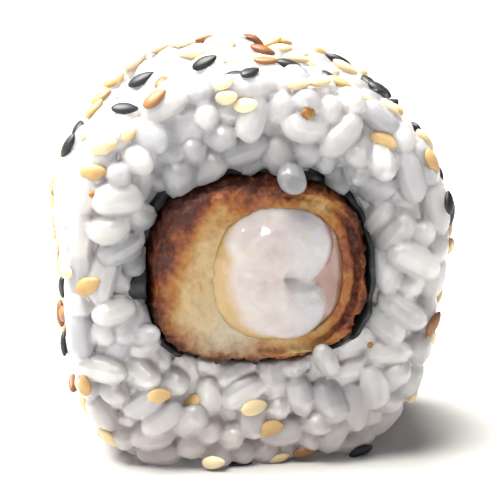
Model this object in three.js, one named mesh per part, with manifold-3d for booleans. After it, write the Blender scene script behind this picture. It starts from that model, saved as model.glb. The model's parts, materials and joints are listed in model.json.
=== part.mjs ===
// A slice of an inside-out sushi roll: rice with sesame seeds pressed on its outside, round a sheet of
// seaweed, round a strip of squid fried in batter. The slice lies with the roll's axis level. One cut
// face looks forward (-Y) and the other back (+Y), and the rice is pressed flat underneath at z = 0.
// Millimetres, +Z up. Angles in the section run from +X towards +Z.
import * as THREE from 'three';
import { mergeVertices } from 'three/addons/utils/BufferGeometryUtils.js';
import Module from 'manifold-3d';

const wasm = await Module();
wasm.setup();

// Driving dimensions: the slice
const SLICE = 25.6; // between the cut faces, over the grains
const RIM_ROUND = 4; // how far the cut faces fall back at the outer rim
const WALL_ROUND = 1.6; // how far the outer wall draws in towards the cut faces
const GROOVE = 2.8; // how far the rice falls back beside the filling
const GROOVE_TILT = 0.35; // the share by which that is more above the filling and less below it
const [GROOVE_ENDS, RIM_STARTS] = [0.5, 0.5]; // shares of the way from the filling to the outer wall
const WALL_BELLY = 0.05; // how far the wall swells out between its rims, as a share of the rice's thickness
const RELIEF = 1.1; // how far most grains stand out of the pressed rice under them
const TALLEST = 1.4; // the most that one does

// Section outlines: a centre, half widths and the powers of their superellipses
const RICE = { x: 0, z: 26.5, half: 22.1, crown: 20, belly: 28.5, crownPower: 2.05, bellyPower: 3.05 };
const COAT = { x: 0.1, z: 22.6, half: 12.5, crown: 11, belly: 10.2, crownPower: 2.7, bellyPower: 2.9 };
const SQUID = { x: 2.3, z: 23, half: 8.2, crown: 8.5, belly: 8.2, crownPower: 2.5, bellyPower: 2.5 };

// The layers inside the rice. A depth is half a layer's length along the roll.
const GAP = 0.3; // clearance from each layer to the next
const SHEET = 0.5; // thickness of the wet seaweed
const SHEET_DEPTH = 7.8;
const SHEET_TILT = 0.1; // the share by which it is shorter above the filling and longer below it
const SHEET_WAVE = 0.35; // how far its edges wander along the roll
const SHEET_TIP = { angle: 183, reach: 1.5, spread: 10 }; // the sheet's end stands out on the left
const SHEET_SHOWS = [ // where its edges come further out of the roll, by how much, and the spread
  { angle: 183, by: 2.6, spread: 9 },
  { angle: -12, by: 2.8, spread: 30 },
  { angle: 57, by: 1.2, spread: 6 },
  { angle: 222, by: 1.6, spread: 6 },
];
const COAT_DEPTH = 11.5;
const COAT_CRAG = 0.55; // depth of the crags in the batter
const COAT_BEVEL = 1.1; // how far the batter's crust falls back at its outer edge
const SQUID_DEPTH = 11.2; // at its edge
const SQUID_DOME = 1.1; // how far its cut face swells out in the middle
const NOTCH = { angle: -8, deep: 1.3, spread: 13 }; // between the two lobes on the right
const STEPS = { rice: 72, sheet: 56, coat: 56, squid: 36 }; // faces round each layer

// Rice grains and sesame seeds at true size
const GRAIN = { length: 7.4, width: 3.4, thickness: 2.9, sides: 5, rings: 3 };
const SEED = { length: 3.2, width: 2.1, thickness: 1.1, sides: 4, rings: 3 };
const WALL_BUMPS = 190; // grains pressed into the rice's surface as relief
const FACE_BUMPS = 90;
const WALL_GRAINS = 24; // whole grains that stand proud of it
const FACE_GRAINS = 28;
const WALL_SEEDS = 60;
const SEED_LIFT = 0.15; // a seed's middle above the rice that it is pressed into

const TURN = 2 * Math.PI;
const lerp = THREE.MathUtils.lerp;

// A repeatable stream of numbers from 0 to 1.
function stream(seed) {
  let state = seed >>> 0;
  return () => {
    state = (Math.imul(state, 1664525) + 1013904223) >>> 0;
    return state / 2 ** 32;
  };
}

// ---------------------------------------------------------------- section outlines

function radiusOf(shape, angle) {
  const [c, s] = [Math.cos(angle), Math.sin(angle)];
  const [tall, power] = s > 0 ? [shape.crown, shape.crownPower] : [shape.belly, shape.bellyPower];
  return (Math.abs(c / shape.half) ** power + Math.abs(s / tall) ** power) ** (-1 / power);
}

function outline(shape, angle, grow = 0) {
  const radius = radiusOf(shape, angle) + grow;
  return new THREE.Vector2(shape.x + radius * Math.cos(angle), shape.z + radius * Math.sin(angle));
}

const middleOf = (shape) => () => new THREE.Vector2(shape.x, shape.z);

// A bell of height 1 round a stated angle in degrees.
function bell(angle, { angle: middle, spread }) {
  const apart = THREE.MathUtils.euclideanModulo(THREE.MathUtils.radToDeg(angle) - middle + 180, 360) - 180;
  return Math.exp(-((apart / spread) ** 2));
}

// Hand-rolled rice is never quite round: slow swells round the slice and along it.
function swell(angle, y) {
  const round = 0.35 * Math.sin(3 * angle + 0.7) + 0.25 * Math.sin(5 * angle - 0.16 * y);
  return round + 0.2 * Math.cos(2 * angle + 0.2 * y);
}

// Half the slice's thickness at a share of the way from the filling to the outer wall.
function halfDepth(angle, share) {
  const rim = Math.max(0, (share - RIM_STARTS) / (1 - RIM_STARTS));
  const beside = Math.max(0, 1 - share / GROOVE_ENDS);
  return SLICE / 2 - RIM_ROUND * rim ** 2.2 - GROOVE * (1 + GROOVE_TILT * Math.sin(angle)) * beside ** 1.5;
}

const sheetInside = (angle) => outline(COAT, angle, GAP);
const sheetOutside = (angle) => outline(COAT, angle, GAP + SHEET + SHEET_TIP.reach * bell(angle, SHEET_TIP));
const bore = (angle) => outline(COAT, angle, GAP + SHEET + GAP + SHEET_TIP.reach * bell(angle, SHEET_TIP));

// ---------------------------------------------------------------- geometry and solids

// Moves each vertex of a geometry by a function of its place.
function reshape(geometry, move) {
  const places = geometry.getAttribute('position');
  const point = new THREE.Vector3();
  for (let i = 0; i < places.count; i++) {
    move(point.fromBufferAttribute(places, i));
    places.setXYZ(i, point.x, point.y, point.z);
  }
  return geometry;
}

// A closed ring of a profile round the section. The profile lists [share, y], the share of the way from
// the inner to the outer outline; relief(angle, share, y) moves a point outwards and along y.
function ring(profile, steps, inner, outer, relief = () => [0, 0]) {
  const loop = [profile[0], ...profile.toReversed()].map(([share, y]) => new THREE.Vector2(1 + share, y));
  return reshape(new THREE.LatheGeometry(loop, steps), (p) => {
    const share = Math.hypot(p.x, p.z) - 1;
    const angle = Math.atan2(p.z, p.x);
    const [from, to] = [inner(angle, p.y), outer(angle, p.y)];
    const [outwards, forwards] = relief(angle, share, p.y);
    p.set(
      lerp(from.x, to.x, share) + outwards * Math.cos(angle),
      p.y + forwards,
      lerp(from.y, to.y, share) + outwards * Math.sin(angle),
    );
  });
}

function solidOf(geometry) {
  const flat = geometry.index ? geometry.toNonIndexed() : geometry;
  const bare = new THREE.BufferGeometry().setAttribute('position', flat.getAttribute('position'));
  const merged = mergeVertices(bare, 1e-4);
  const corners = merged.index.array;
  const triVerts = [];
  for (let i = 0; i < corners.length; i += 3) {
    const [a, b, c] = corners.slice(i, i + 3);
    if (a !== b && b !== c && c !== a) triVerts.push(a, b, c);
  }
  return new wasm.Manifold(new wasm.Mesh({
    numProp: 3,
    vertProperties: merged.attributes.position.array,
    triVerts: Uint32Array.from(triVerts),
  }));
}

function geometryOf(solid) {
  const mesh = solid.getMesh();
  return new THREE.BufferGeometry()
    .setAttribute('position', new THREE.BufferAttribute(new Float32Array(mesh.vertProperties), 3))
    .setIndex(new THREE.BufferAttribute(new Uint32Array(mesh.triVerts), 1));
}

// The largest body alone: sealed hollows are filled and loose scraps dropped.
function mainBody(solid) {
  return solid.decompose().reduce((best, body) => (body.volume() > best.volume() ? body : best));
}

// ---------------------------------------------------------------- grains and seeds

// A grain or seed lies at a place, its long axis along `along` and its flat side facing `out`.
function frameOf({ at, along, out }) {
  const x = new THREE.Vector3().crossVectors(along, out).normalize();
  const y = along.clone().normalize();
  return new THREE.Matrix4().makeBasis(x, y, x.clone().cross(y)).setPosition(at);
}

// A stretched sphere with few sides. A grain's ends are blunt; a seed tapers to a point.
function kernel(size, place, taper = 0) {
  const blunt = taper ? 1 : 1.35;
  const shape = new THREE.SphereGeometry(0.5, size.sides, size.rings);
  reshape(shape, (p) => p.set(
    p.x * size.width * 1.1 * (1 - taper * p.y),
    THREE.MathUtils.clamp(p.y * blunt, -0.5, 0.5) * size.length,
    p.z * size.thickness * 1.1,
  ));
  return shape.applyMatrix4(frameOf(place));
}

// Spreads places evenly but not in rows: each is the candidate that lies furthest from the rest.
function spread(count, sample) {
  const made = [];
  for (let n = 0; n < count; n++) {
    let best = null;
    for (let k = 0; k < 16; k++) {
      const candidate = sample();
      const room = Math.min(...made.map((other) => other.at.distanceTo(candidate.at)), 1e9);
      if (!best || room > best.room) best = { ...candidate, room };
    }
    made.push(best);
  }
  return made;
}

// A place on the rice's outer wall, `inset` under its envelope, with its outward direction.
function onWall(angle, y, inset = 0) {
  const depth = Math.min(1, Math.max(0, (Math.abs(y) - SLICE / 2 + RIM_ROUND + 1.5) / (RIM_ROUND + 1.5)));
  const grow = swell(angle, y) - inset - WALL_ROUND * depth ** 2;
  const here = outline(RICE, angle, grow);
  const ahead = outline(RICE, angle + 0.01, grow);
  const out = new THREE.Vector3(ahead.y - here.y, 0, here.x - ahead.x).normalize();
  out.y = 0.9 * depth * Math.sign(y);
  return { at: new THREE.Vector3(here.x, y, here.y), out: out.normalize() };
}

// A place on a cut face, `inset` under its envelope; side is -1 at the front and 1 at the back.
function onFace(angle, share, side, inset = 0) {
  const [from, to] = [bore(angle), outline(RICE, angle, swell(angle, 0))];
  const y = side * (halfDepth(angle, share) - inset);
  const at = new THREE.Vector3(lerp(from.x, to.x, share), y, lerp(from.y, to.y, share));
  return { at, out: new THREE.Vector3(0, side, 0) };
}

// A direction in the plane across `out`, at a turn from the roll's axis, or from upright on a cut face.
function across(out, turned) {
  const axis = Math.abs(out.y) > 0.9 ? new THREE.Vector3(0, 0, 1) : new THREE.Vector3(0, 1, 0);
  return out.clone().cross(axis).cross(out).normalize().applyAxisAngle(out, turned);
}

// Grains that the rolling mat pressed flat into the outer wall.
function wallGrains(count, random, inset) {
  const sample = () => {
    const angle = TURN * random();
    return { angle, ...onWall(angle, (random() - 0.5) * (SLICE - 2), inset) };
  };
  return spread(count, sample).map(({ angle, at }) => {
    const turned = TURN * random();
    const room = (SLICE - GRAIN.length * Math.abs(Math.cos(turned))) / 2 - 0.6;
    const place = onWall(angle, THREE.MathUtils.clamp(at.y, -room, room), inset);
    return { ...place, along: across(place.out, turned) };
  });
}

// Grains in a cut face: the knife left them lying at all slants, some of them end on.
function faceGrains(count, random, side, inset) {
  const sample = () => onFace(TURN * random(), Math.sqrt(0.01 + 0.72 * random()), side, inset);
  return spread(count, sample).map(({ at, out }) => {
    const level = across(out, TURN * random());
    const along = level.clone().lerp(out, 0.8 * random()).normalize();
    at.addScaledVector(along, -0.5 * (GRAIN.length - GRAIN.width) * Math.abs(along.y));
    return { at, along, out: new THREE.Vector3().crossVectors(level, out) };
  });
}

// ---------------------------------------------------------------- the layers

// How far a grain's far side stands out of a surface, along the surface's normal.
function stands(grain, point, normal) {
  const from = point.clone().applyMatrix4(grain.toUnit);
  const way = point.clone().add(normal).applyMatrix4(grain.toUnit).sub(from);
  const [a, b, c] = [way.lengthSq(), from.dot(way), from.lengthSq() - 1];
  return b * b < a * c ? 0 : (Math.sqrt(b * b - a * c) - b) / a;
}

// Presses grains into a closed surface: each vertex rises to the grain that stands out furthest there.
function pressGrains(geometry, grains) {
  const half = new THREE.Matrix4().makeScale(GRAIN.width / 2, GRAIN.length / 2, GRAIN.thickness / 2);
  const packed = grains.map((grain) => ({ at: grain.at, toUnit: frameOf(grain).multiply(half).invert() }));
  const bare = new THREE.BufferGeometry().setAttribute('position', geometry.getAttribute('position'));
  const surface = mergeVertices(bare.setIndex(geometry.index), 1e-4);
  surface.computeVertexNormals();
  const [places, normals] = [surface.getAttribute('position'), surface.getAttribute('normal')];
  const [point, normal] = [new THREE.Vector3(), new THREE.Vector3()];
  for (let i = 0; i < places.count; i++) {
    point.fromBufferAttribute(places, i);
    normal.fromBufferAttribute(normals, i);
    const near = packed.filter((grain) => grain.at.distanceTo(point) < GRAIN.length);
    const height = Math.max(0, ...near.map((grain) => stands(grain, point, normal)));
    point.addScaledVector(normal, TALLEST * (1 - Math.exp(-height / RELIEF)));
    places.setXYZ(i, point.x, point.y, point.z);
  }
  return surface;
}

function riceCore(random) {
  const depth = (share) => halfDepth(0, share) - RELIEF;
  const recess = (angle, share, y) => [0, Math.sign(y) * (halfDepth(angle, share) - halfDepth(0, share))];
  const shares = [0, 0.12, 0.25, 0.39, 0.54, 0.69, 0.84, 1];
  const rows = [0.85, 0.69, 0.53, 0.37, 0.21, 0.07];
  const wall = rows.map((row) => [1 + WALL_BELLY * (1 - row ** 4), row * depth(1)]);
  const profile = [
    ...shares.map((share) => [share, depth(share)]),
    ...wall,
    ...wall.toReversed().map(([share, y]) => [share, -y]),
    ...shares.toReversed().map((share) => [share, -depth(share)]),
  ];
  const outside = (angle, y) => outline(RICE, angle, swell(angle, y) - RELIEF - 0.6);
  const grains = [
    ...wallGrains(WALL_BUMPS, random, RELIEF + 0.2),
    ...faceGrains(FACE_BUMPS, random, -1, RELIEF + 0.4),
    ...faceGrains(FACE_BUMPS, random, 1, RELIEF + 0.4),
  ];
  return pressGrains(ring(profile, STEPS.rice, bore, outside, recess), grains);
}

// The wall's seeds, each laid flat on the rice that a line from outside meets first.
function wallSeeds(random, rice) {
  const target = new THREE.Mesh(geometryOf(rice));
  const ray = new THREE.Raycaster();
  const sample = () => onWall(TURN * random(), (random() - 0.5) * (SLICE - 3), -5);
  return spread(WALL_SEEDS, sample).flatMap(({ at, out }) => {
    ray.set(at, out.clone().negate());
    const [hit] = ray.intersectObject(target);
    if (!hit || hit.point.z < 1) return [];
    const lie = hit.face.normal.clone().lerp(out, 0.6).normalize();
    hit.point.addScaledVector(lie, SEED_LIFT);
    return [kernel(SEED, { at: hit.point, along: across(lie, TURN * random()), out: lie }, 0.5)];
  });
}

function makeRice() {
  const random = stream(12);
  const core = solidOf(riceCore(random));
  const proud = [
    ...wallGrains(WALL_GRAINS, random, 0.45 * GRAIN.thickness),
    ...faceGrains(FACE_GRAINS, random, -1, 0.5 * GRAIN.width),
    ...faceGrains(FACE_GRAINS, random, 1, 0.5 * GRAIN.width),
  ];
  const plug = [[0, SLICE], [1, SLICE], [1, -SLICE], [0, -SLICE]];
  const filling = solidOf(ring(plug, STEPS.rice, middleOf(COAT), bore));
  const bare = mainBody(wasm.Manifold.union([core, ...proud.map((place) => solidOf(kernel(GRAIN, place)))]));
  const seeds = wallSeeds(stream(19), bare).map(solidOf);
  const under = new THREE.BoxGeometry(4 * RICE.half, 4 * SLICE, RICE.belly).translate(0, 0, -RICE.belly / 2);
  const whole = mainBody(wasm.Manifold.union([bare, ...seeds]).subtract(solidOf(under)).subtract(filling));
  return geometryOf(whole);
}

function makeSheet() {
  const profile = [[0, SHEET_DEPTH], [1, SHEET_DEPTH], [1, -SHEET_DEPTH], [0, -SHEET_DEPTH]];
  const wave = (angle, share, y) => {
    const ripple = SHEET_WAVE * (Math.sin(7 * angle) + 0.7 * Math.sin(12 * angle + 1));
    const shows = SHEET_SHOWS.reduce((sum, mark) => sum + mark.by * bell(angle, mark), 0);
    return [0, Math.sign(y) * (ripple + shows - SHEET_TILT * SHEET_DEPTH * Math.sin(angle))];
  };
  return ring(profile, STEPS.sheet, sheetInside, sheetOutside, wave);
}

// Crags and hollows of the fried batter, deepest at the outer edge of the cut.
function crag(angle, share, y) {
  const side = Math.sign(y);
  const rough = Math.sin(11 * angle + 2 * side) + Math.sin(17 * angle + share) + 0.7 * Math.sin(29 * angle);
  const inwards = -COAT_CRAG * (0.5 + 0.18 * rough) * share;
  const bumps = 0.3 * Math.sin(13 * angle + 9 * share) + 0.2 * Math.sin(23 * angle - 7 * share);
  return [inwards, side * (bumps * (0.4 + share) - COAT_BEVEL * share ** 3)];
}

function makeCoat() {
  const shares = [0, 0.33, 0.68, 1];
  const profile = [
    ...shares.map((share) => [share, COAT_DEPTH]),
    [1, 0.05],
    ...shares.toReversed().map((share) => [share, -COAT_DEPTH]),
  ];
  const [inside, outside] = [(angle) => outline(SQUID, angle, GAP), (angle) => outline(COAT, angle)];
  return ring(profile, STEPS.coat, inside, outside, crag);
}

function makeSquid() {
  const dome = (share) => SQUID_DEPTH + SQUID_DOME * Math.sqrt(1 - share ** 2);
  const shares = [0, 0.35, 0.65, 0.87, 1];
  const profile = [...shares.map((s) => [s, dome(s)]), ...shares.toReversed().map((s) => [s, -dome(s)])];
  const lobes = (angle, share) => [-NOTCH.deep * bell(angle, NOTCH) * share ** 2, 0];
  return ring(profile, STEPS.squid, middleOf(SQUID), (angle) => outline(SQUID, angle), lobes);
}

// ---------------------------------------------------------------- the slice

function part(name, geometry, color, roughness) {
  const mesh = new THREE.Mesh(geometry, new THREE.MeshStandardMaterial({ color, roughness, metalness: 0 }));
  mesh.name = name;
  return mesh;
}

const slice = new THREE.Group();
slice.add(
  part('rice', makeRice(), 0xe9e6e0, 0.4),
  part('seaweed', makeSheet(), 0x24282a, 0.5),
  part('batter', makeCoat(), 0x9a5a2e, 0.6),
  part('squid', makeSquid(), 0xe8dcd6, 0.35),
);

// The origin stands under the middle of the slice, where it rests.
const box = new THREE.Box3().setFromObject(slice);
slice.position.set(-(box.min.x + box.max.x) / 2, -(box.min.y + box.max.y) / 2, 0);

export default slice;
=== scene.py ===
"""A slice of an inside-out sushi roll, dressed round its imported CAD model.

Sticky rice dotted with sesame seeds lies round a sheet of seaweed, a strip of squid and its fried batter.
The roll's axis is level: the front cut face looks along -Y and the back one along +Y.
"""
import json
import math
from collections import namedtuple

import bpy
import numpy as np
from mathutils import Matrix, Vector
from mathutils.bvhtree import BVHTree
from mathutils.kdtree import KDTree

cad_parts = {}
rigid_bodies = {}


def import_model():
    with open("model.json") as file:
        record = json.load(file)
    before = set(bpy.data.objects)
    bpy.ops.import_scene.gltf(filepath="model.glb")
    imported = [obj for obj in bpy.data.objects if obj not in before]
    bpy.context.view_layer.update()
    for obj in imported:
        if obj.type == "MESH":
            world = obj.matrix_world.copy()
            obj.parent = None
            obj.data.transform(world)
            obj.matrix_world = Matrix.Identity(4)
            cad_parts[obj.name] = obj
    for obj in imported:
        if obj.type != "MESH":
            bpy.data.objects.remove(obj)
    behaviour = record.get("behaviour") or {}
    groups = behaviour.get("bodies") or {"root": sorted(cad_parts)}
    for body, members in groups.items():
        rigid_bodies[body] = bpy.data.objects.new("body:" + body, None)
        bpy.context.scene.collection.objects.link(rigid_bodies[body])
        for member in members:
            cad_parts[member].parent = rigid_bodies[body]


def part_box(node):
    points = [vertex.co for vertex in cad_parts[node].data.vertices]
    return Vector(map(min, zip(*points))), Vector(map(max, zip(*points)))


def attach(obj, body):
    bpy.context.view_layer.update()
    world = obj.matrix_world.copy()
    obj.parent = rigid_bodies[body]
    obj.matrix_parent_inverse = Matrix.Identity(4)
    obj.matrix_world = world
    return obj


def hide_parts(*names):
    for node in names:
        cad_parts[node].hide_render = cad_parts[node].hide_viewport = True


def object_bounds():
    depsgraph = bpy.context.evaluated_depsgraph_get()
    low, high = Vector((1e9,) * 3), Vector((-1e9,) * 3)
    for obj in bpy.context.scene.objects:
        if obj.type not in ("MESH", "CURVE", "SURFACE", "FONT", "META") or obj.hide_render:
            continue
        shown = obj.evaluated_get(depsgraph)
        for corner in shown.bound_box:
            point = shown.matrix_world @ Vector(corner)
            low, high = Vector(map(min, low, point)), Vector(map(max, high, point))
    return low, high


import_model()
cad_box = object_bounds()

MM = 0.001
TURN = 2 * math.pi

# ------------------------------------------------------------------ the section, in millimetres

Outline = namedtuple("Outline", "x z half crown belly crown_power belly_power")
RICE = Outline(0, 26.5, 22.1, 20, 28.5, 2.05, 3.05)
COAT = Outline(0.1, 22.6, 12.5, 11, 10.2, 2.7, 2.9)
SQUID = Outline(2.3, 23, 8.2, 8.5, 8.2, 2.5, 2.5)
SLICE = 25.6  # between the cut faces, over the grains
RIM_ROUND = 4  # how far the cut faces fall back at the outer rim
WALL_ROUND = 1.6  # how far the outer wall draws in towards the cut faces
WALL_ROUND_MORE = 1.5  # it starts this much further from them than their rims' rounding
UNDER_SEEDS = 0.5  # the rice's wall lies this far inside the part's outline, which its seeds reach
GROOVE = 2.8  # how far the rice falls back beside the filling
GROOVE_TILT = 0.35  # the share by which that is more above the filling and less below it
GROOVE_ENDS, RIM_STARTS = 0.5, 0.5  # shares of the way from the filling to the outer wall
GAP = 0.3  # clearance from each layer to the next
SHEET = 0.5  # thickness of the wet seaweed
COAT_DEPTH = 11.5  # half the batter's length along the roll
SQUID_DEPTH = 10.6  # the same for the squid's edge, past which its cut face swells out
SQUID_RAISED = 0.9  # how much further out that edge lies, except at the right, where the batter folds over it
SHEET_DEPTH = 7.8  # half the seaweed's breadth along the roll
SHEET_TILT = 0.1  # the share by which it is shorter above the filling and longer below it
SHEET_WAVE = 0.35  # how far its edges wander along the roll
SHEET_TIP = (183, 1.5, 10)  # the sheet's end: its angle, how far it stands out, and its spread
SHEET_SHOWS = ((183, 2.6, 9), (-12, 2.8, 30), (57, 1.2, 6), (222, 1.6, 6))  # where its edge comes forward
COAT_BEVEL, BEVEL_WIDTH = 1.1, 1.6  # how far the batter falls back at its outer edge, and how wide that is
CRUST = 2.6  # thickness of the batter's rough outer crust
CRUST_SPAN = 6  # the thickness over which frying coloured it
CRUMBS = ((2.4, 1.5), (1.1, 1.1), (0.55, 0.5))  # its crags: their size and depth
CRUMB_SKIN = 0.27  # the size of the finest shape in its skin
SUNK_PALER = 0.25  # how much paler it is for each millimetre that a crag goes in

# The sheet of seaweed has no random outline, so its box says where the CAD model put the roll's axis.
sheet_low, sheet_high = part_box("seaweed")
AXIS_X = sheet_high.x / MM - (COAT.x + COAT.half + GAP + SHEET)
AXIS_Y = (sheet_low.y + sheet_high.y) / 2 / MM


def radius(outline, angle):
    """The outline's radius at angles from +X towards +Z."""
    above = np.sin(angle) > 0
    tall = np.where(above, outline.crown, outline.belly)
    power = np.where(above, outline.crown_power, outline.belly_power)
    across, up = np.abs(np.cos(angle)) / outline.half, np.abs(np.sin(angle)) / tall
    return (across**power + up**power) ** (-1 / power)


def polar(points, outline):
    """Angles and radii of points about the middle of an outline."""
    x, z = points[:, 0] - AXIS_X - outline.x, points[:, 2] - outline.z
    return np.arctan2(z, x), np.hypot(x, z)


def swell(angle, y):
    """Hand-rolled rice is never quite round: slow swells round the slice and along it."""
    rounds = 0.35 * np.sin(3 * angle + 0.7) + 0.25 * np.sin(5 * angle - 0.16 * y)
    return rounds + 0.2 * np.cos(2 * angle + 0.2 * y)


def wall_room(points):
    """How far points lie inside the rice's outer wall, under the seeds on it."""
    angle, out = polar(points, RICE)
    y = points[:, 1] - AXIS_Y
    width = RIM_ROUND + WALL_ROUND_MORE
    to_rim = np.clip((np.abs(y) - SLICE / 2 + RIM_ROUND + WALL_ROUND_MORE) / width, 0, 1)
    return radius(RICE, angle) + swell(angle, y) - UNDER_SEEDS - WALL_ROUND * to_rim**2 - out


def bore_room(points):
    """How far points lie outside the seaweed."""
    angle, out = polar(points, COAT)
    return out - radius(COAT, angle) - 2 * GAP - SHEET


def half_depth(points):
    """Half the slice's thickness where the points are: the cut faces fall back at the rim and the filling."""
    inner, outer = np.maximum(bore_room(points), 0), np.maximum(wall_room(points), 0)
    share = inner / np.maximum(inner + outer, 0.1)
    rim = np.maximum(0, (share - RIM_STARTS) / (1 - RIM_STARTS))
    beside = np.maximum(0, 1 - share / GROOVE_ENDS)
    angle, _ = polar(points, COAT)
    return SLICE / 2 - RIM_ROUND * rim**2.2 - GROOVE * (1 + GROOVE_TILT * np.sin(angle)) * beside**1.5


def bell(angle, mark):
    """A bell of height 1 round a mark: its angle, height and spread, the angles in degrees."""
    middle, _, spread = mark
    apart = (np.degrees(angle) - middle + 180) % 360 - 180
    return np.exp(-((apart / spread) ** 2))


FURTHEST, HALVINGS = 60.0, 26  # an outline's edge is looked for this far out, by halving


def to_edge(angle, middle, outline):
    """From the middle of one outline to the edge of another, at angles about that middle."""
    near, far = np.zeros(np.shape(angle)), np.full(np.shape(angle), FURTHEST)
    for _ in range(HALVINGS):
        half_way = (near + far) / 2
        x = middle.x + half_way * np.cos(angle) - outline.x
        z = middle.z + half_way * np.sin(angle) - outline.z
        inside = np.hypot(x, z) < radius(outline, np.arctan2(z, x))
        near, far = np.where(inside, half_way, near), np.where(inside, far, half_way)
    return near


def moved_out(points, outline, distance):
    """Points moved away from an outline's middle, in the section's plane."""
    angle, _ = polar(points, outline)
    way = np.stack([np.cos(angle), np.zeros(len(points)), np.sin(angle)], 1)
    return points + way * distance[:, None]


# ------------------------------------------------------------------ modelling helpers


def select_only(piece):
    bpy.ops.object.select_all(action="DESELECT")
    piece.select_set(True)
    bpy.context.view_layer.objects.active = piece


def newest(name):
    """Names the object that an operator has just added."""
    piece = bpy.context.active_object
    piece.name = piece.data.name = name
    return piece


def finish_with(piece, kind, **settings):
    """Adds a modifier to a piece and applies it."""
    select_only(piece)
    bpy.ops.object.modifier_add(type=kind)
    modifier = piece.modifiers[-1]
    for name, value in settings.items():
        setattr(modifier, name, value)
    bpy.ops.object.modifier_apply(modifier=modifier.name)


def places_of(piece):
    """A piece's vertices in millimetres."""
    places = np.empty(len(piece.data.vertices) * 3)
    piece.data.vertices.foreach_get("co", places)
    return places.reshape(-1, 3) / MM


def place(piece, places):
    piece.data.vertices.foreach_set("co", (places * MM).ravel())
    piece.data.update()


def note(piece, name, values):
    """Stores one number for each vertex, for the piece's material to read."""
    layer = piece.data.attributes.new(name, "FLOAT", "POINT")
    layer.data.foreach_set("value", np.asarray(values, np.float32))


def joined(name, prototype, sizes, middles, axes):
    """One mesh of copies of a unit prototype, each with its size, middle and three axes, in millimetres."""
    unit = places_of(prototype) * MM
    faces = [tuple(face.vertices) for face in prototype.data.polygons]
    copies = np.einsum("vk,nk,nkc->nvc", unit, sizes, axes) + middles[:, None]
    corners = [tuple(n * len(unit) + v for v in face) for n in range(len(middles)) for face in faces]
    mesh = bpy.data.meshes.new(name)
    mesh.from_pydata((copies.reshape(-1, 3) * MM).tolist(), [], corners)
    piece = bpy.data.objects.new(name, mesh)
    bpy.context.scene.collection.objects.link(piece)
    mesh.shade_smooth()
    return piece


def unit_vectors(vectors):
    return vectors / np.maximum(np.linalg.norm(vectors, axis=1, keepdims=True), 1e-9)


def axes_of(along, out):
    """Axes for a kernel that lies along one direction with its flat side facing another."""
    y = unit_vectors(along)
    x = unit_vectors(np.cross(y, out))
    return np.stack([x, y, np.cross(x, y)], 1)


def select_faces(piece, wanted):
    """Opens a piece in edit mode with only the wanted faces selected."""
    bpy.ops.object.mode_set(mode="EDIT")
    bpy.ops.mesh.select_mode(type="FACE")
    bpy.ops.mesh.select_all(action="DESELECT")
    bpy.ops.object.mode_set(mode="OBJECT")
    for face in piece.data.polygons:
        face.select = wanted(face)
    bpy.ops.object.mode_set(mode="EDIT")


def new_tube(name, steps, cuts):
    """A thick unit tube along Y: from radius 1 to 2 and from y = -1 to 1."""
    bpy.ops.mesh.primitive_cylinder_add(vertices=steps, radius=2, depth=2, rotation=(math.pi / 2, 0, 0))
    tube = newest(name)
    bpy.ops.object.transform_apply(rotation=True)
    select_faces(tube, lambda face: abs(face.normal.y) > 0.9)
    bpy.ops.mesh.inset(thickness=1, use_even_offset=False)
    bpy.ops.mesh.delete(type="FACE")
    bpy.ops.mesh.select_mode(type="EDGE")
    bpy.ops.mesh.select_all(action="DESELECT")
    bpy.ops.mesh.select_non_manifold()
    bpy.ops.mesh.bridge_edge_loops()
    bpy.ops.mesh.select_all(action="SELECT")
    bpy.ops.mesh.subdivide(number_cuts=cuts)
    bpy.ops.mesh.normals_make_consistent(inside=False)
    bpy.ops.object.mode_set(mode="OBJECT")
    tube.data.shade_smooth()
    return tube


def bend_tube(tube, outline, inner, outer, depth):
    """Fits a unit tube round the middle of an outline, between two radii that depend on the angle."""
    unit = places_of(tube) * MM
    angle, share = np.arctan2(unit[:, 2], unit[:, 0]), np.hypot(unit[:, 0], unit[:, 2]) - 1
    out = inner(angle) * (1 - share) + outer(angle) * share
    place(tube, np.stack([
        AXIS_X + outline.x + out * np.cos(angle),
        AXIS_Y + unit[:, 1] * depth,
        outline.z + out * np.sin(angle),
    ], 1))


def one_skin(pieces, voxel):
    """Joins pieces into one with a single closed skin, without the hollows inside it."""
    select_only(pieces[0])
    for piece in pieces:
        piece.select_set(True)
    bpy.ops.object.join()
    piece = pieces[0]
    finish_with(piece, "REMESH", mode="VOXEL", voxel_size=voxel * MM, use_smooth_shade=True)
    furthest = int(np.argmax(places_of(piece)[:, 0]))
    piece.data.vertices.foreach_set("select", [n == furthest for n in range(len(piece.data.vertices))])
    bpy.ops.object.mode_set(mode="EDIT")
    bpy.ops.mesh.select_mode(type="VERT")
    bpy.ops.mesh.select_linked()
    bpy.ops.mesh.select_all(action="INVERT")
    bpy.ops.mesh.delete(type="VERT")
    bpy.ops.object.mode_set(mode="OBJECT")
    finish_with(piece, "SMOOTH", factor=0.5, iterations=1)
    finish_with(piece, "DECIMATE", ratio=MOST_TRIANGLES / (2 * len(piece.data.polygons)))
    piece.data.shade_smooth()
    return piece


# ------------------------------------------------------------------ rice grains

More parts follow.
